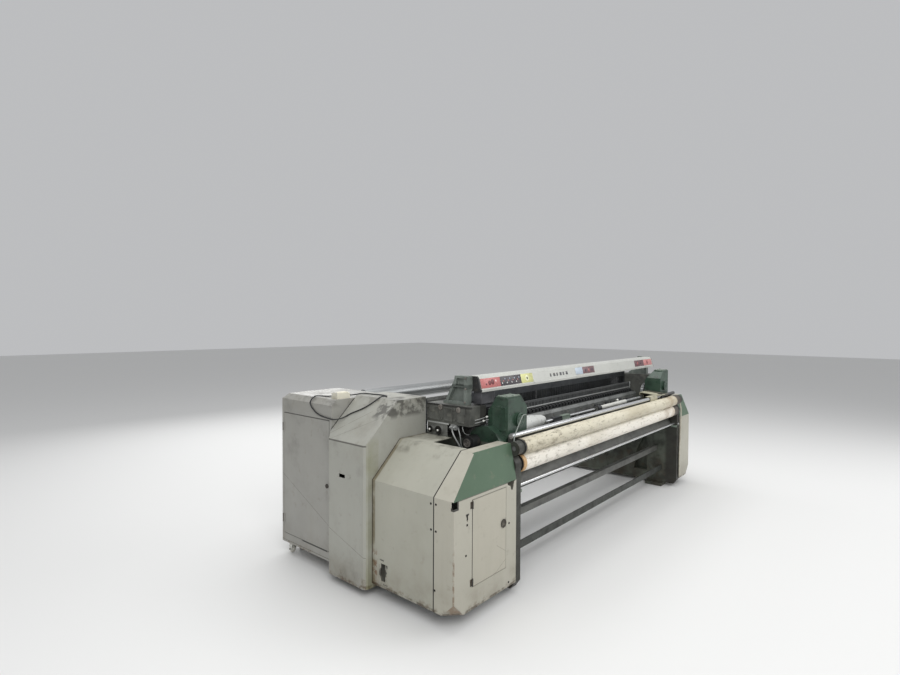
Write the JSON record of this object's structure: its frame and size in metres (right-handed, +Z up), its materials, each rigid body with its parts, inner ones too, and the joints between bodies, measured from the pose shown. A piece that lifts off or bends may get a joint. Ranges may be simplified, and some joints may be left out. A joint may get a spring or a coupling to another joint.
{
  "type": "power loom",
  "caption": "Wide rapier weaving machine with sheet-metal end covers, cast side frames, cream cloth rollers, sley with reed, heald frames and a top beam.",
  "frame": {"origin": "on the floor under the centre of the machine's bounding box", "axes": "+X across the machine from the control-cabinet end to the plain end, +Y from the cloth side to the warp side, +Z up"},
  "size_m": [3.755, 1.7279, 1.262],
  "materials": {
    "casting": "painted grey-green, oily",
    "steel_dark": "dark grey paint, dusty",
    "steel_grey": "grey paint, worn",
    "chrome": "polished, dusty",
    "bearing_black": "black, oily",
    "cover_beige": "light beige-grey powder coat, soiled",
    "cover_grey": "light grey powder coat, scuffed",
    "cap_green": "satin green paint",
    "lock_black": "black",
    "castor_white": "zinc and white",
    "castor_tread": "white plastic",
    "roller_cream": "cream covering, stained",
    "beam_alu": "anodised, with bare colour fields",
    "cap_black": "black",
    "bracket_grey": "grey-green paint",
    "head_grey": "mottled grey, flaking paint",
    "selector_alu": "bare plate with black caps",
    "shaft_steel": "ground steel",
    "sley_alu": "grey casting and profile",
    "reed_steel": "bare steel dents",
    "guide_black": "black",
    "heald_alu": "dark anodised",
    "housing_green": "dark green paint, oily dust",
    "wheel_steel": "machined",
    "funnel_white": "translucent white",
    "plate_beige": "beige paint",
    "motor_green": "dull green paint",
    "belt_black": "black",
    "connector": "beige",
    "cable_black": "black sheath"
  },
  "bodies": {
    "machine": {"side_frame_left": "casting", "side_frame_right": "casting", "kick_bar": "steel_grey", "lower_tie_bar": "steel_dark", "rear_tie_beam": "steel_grey", "centre_beam": "casting", "breast_beam": "steel_grey", "breast_bar": "chrome", "spreader_bar": "chrome", "bearing_flanges": "bearing_black", "front_cover_left": "cover_beige", "front_cap_left": "cap_green", "mid_cover_left": "cover_beige", "tall_cover_left": "cover_grey", "rear_cabinet": "cover_grey", "front_cover_right": "cover_beige", "front_cap_right": "cap_green", "side_cover_right": "cover_beige", "top_beam": "beam_alu", "beam_caps": "cap_black", "beam_bracket_left": "bracket_grey", "beam_bracket_right": "bracket_grey", "head_casting_left": "head_grey", "head_casting_right": "head_grey", "selector_plate": "selector_alu", "drive_housing_left": "housing_green", "drive_housing_right": "housing_green", "drive_hub": "bearing_black", "temple_bar": "steel_dark", "temple_rod": "chrome", "selvedge_plate": "plate_beige", "weft_funnel": "funnel_white", "warp_stop_rails": "sley_alu", "main_motor": "motor_green", "drive_belt": "belt_black", "roof_connector": "connector", "roof_cable": "cable_black"},
    "door": {"front_door": "cover_beige"},
    "door_latch": {"door_lock": "lock_black"},
    "cabinet_leaf": {"cabinet_door": "cover_grey"},
    "cabinet_latch": {"cabinet_lock": "lock_black"},
    "castor_swivel": {"castor_fork": "castor_white"},
    "castor": {"castor_wheel": "castor_tread"},
    "take_up": {"take_up_roller": "roller_cream"},
    "press": {"press_roller": "roller_cream"},
    "sley": {"sley_shaft": "shaft_steel", "sley_beam": "sley_alu", "reed": "reed_steel", "rapier_guides": "guide_black"},
    "heald_1": {"heald_frame_1": "heald_alu"},
    "heald_2": {"heald_frame_2": "heald_alu"},
    "heald_3": {"heald_frame_3": "heald_alu"},
    "heald_4": {"heald_frame_4": "heald_alu"},
    "wheel_left": {"rapier_wheel_left": "wheel_steel"},
    "wheel_right": {"rapier_wheel_right": "wheel_steel"},
    "temple": {"temple_roller": "shaft_steel"},
    "back_rest": {"back_rest_carrier": "casting"},
    "back_roller": {"back_rest_roller": "shaft_steel"},
    "main_drive": {"main_shaft": "shaft_steel"},
    "motor_rotor": {"motor_pulley": "shaft_steel"}
  },
  "joints": [
    {"name": "door_hinge", "type": "hinge", "parent": "machine", "child": "door", "pos_m": [-1.6715, -0.839, 0.43], "axis": [0, 0, -1], "range_deg": [0, 110]},
    {"name": "door_lock_turn", "type": "hinge", "parent": "door", "child": "door_latch", "pos_m": [-1.3905, -0.836, 0.46103], "axis": [0, -1, 0], "range_deg": [0, 90]},
    {"name": "cabinet_hinge", "type": "hinge", "parent": "machine", "child": "cabinet_leaf", "pos_m": [-1.8255, 0.689, 0.56], "axis": [0, 0, -1], "range_deg": [0, 110]},
    {"name": "cabinet_lock_turn", "type": "hinge", "parent": "cabinet_leaf", "child": "cabinet_latch", "pos_m": [-1.8225, 0.21, 0.56], "axis": [-1, 0, 0], "range_deg": [0, 90]},
    {"name": "castor_swivel", "type": "hinge", "parent": "machine", "child": "castor_swivel", "pos_m": [-1.7745, 0.658, 0.08], "axis": [0, 0, 1], "continuous": true},
    {"name": "castor_axle", "type": "hinge", "parent": "castor_swivel", "child": "castor", "pos_m": [-1.7745, 0.67, 0.026], "axis": [1, 0, 0], "continuous": true},
    {"name": "take_up_turn", "type": "hinge", "parent": "machine", "child": "take_up", "pos_m": [0.1725, -0.786, 0.756], "axis": [1, 0, 0], "continuous": true},
    {"name": "press_turn", "type": "hinge", "parent": "machine", "child": "press", "pos_m": [0.1725, -0.816, 0.85798], "axis": [1, 0, 0], "continuous": true},
    {"name": "sley_rock", "type": "hinge", "parent": "machine", "child": "sley", "pos_m": [0.1725, -0.336, 0.42], "axis": [1, 0, 0], "range_deg": [0, 10]},
    {"name": "heald_1_lift", "type": "slide", "parent": "machine", "child": "heald_1", "axis": [0, 0, 1], "range_m": [-0.042, 0.042]},
    {"name": "heald_2_lift", "type": "slide", "parent": "machine", "child": "heald_2", "axis": [0, 0, 1], "range_m": [-0.042, 0.042]},
    {"name": "heald_3_lift", "type": "slide", "parent": "machine", "child": "heald_3", "axis": [0, 0, 1], "range_m": [-0.042, 0.042]},
    {"name": "heald_4_lift", "type": "slide", "parent": "machine", "child": "heald_4", "axis": [0, 0, 1], "range_m": [-0.042, 0.042]},
    {"name": "wheel_left_turn", "type": "hinge", "parent": "machine", "child": "wheel_left", "pos_m": [-1.0925, -0.546, 0.918], "axis": [0, 1, 0], "continuous": true},
    {"name": "wheel_right_turn", "type": "hinge", "parent": "machine", "child": "wheel_right", "pos_m": [1.4375, -0.546, 0.918], "axis": [0, 1, 0], "continuous": true},
    {"name": "temple_turn", "type": "hinge", "parent": "machine", "child": "temple", "pos_m": [0.5775, -0.64, 0.909], "axis": [1, 0, 0], "continuous": true},
    {"name": "back_rest_tilt", "type": "hinge", "parent": "machine", "child": "back_rest", "pos_m": [0.1725, 0.584, 0.886], "axis": [1, 0, 0], "range_deg": [-8, 8]},
    {"name": "back_roller_turn", "type": "hinge", "parent": "back_rest", "child": "back_roller", "pos_m": [0.1725, 0.644, 1.02], "axis": [1, 0, 0], "continuous": true},
    {"name": "main_shaft_turn", "type": "hinge", "parent": "machine", "child": "main_drive", "pos_m": [0.1725, -0.076, 0.236], "axis": [1, 0, 0], "continuous": true},
    {"name": "motor_turn", "type": "hinge", "parent": "machine", "child": "motor_rotor", "pos_m": [-1.3425, -0.366, 0.21], "axis": [1, 0, 0], "continuous": true}
  ],
  "couplings": [
    {"joint": "press_turn", "follows": "take_up_turn", "ratio": -1.2083},
    {"joint": "heald_2_lift", "follows": "heald_1_lift", "ratio": -1},
    {"joint": "heald_3_lift", "follows": "heald_1_lift", "ratio": 1},
    {"joint": "heald_4_lift", "follows": "heald_1_lift", "ratio": -1},
    {"joint": "wheel_right_turn", "follows": "wheel_left_turn", "ratio": -1},
    {"joint": "motor_turn", "follows": "main_shaft_turn", "ratio": 2.5}
  ]
}
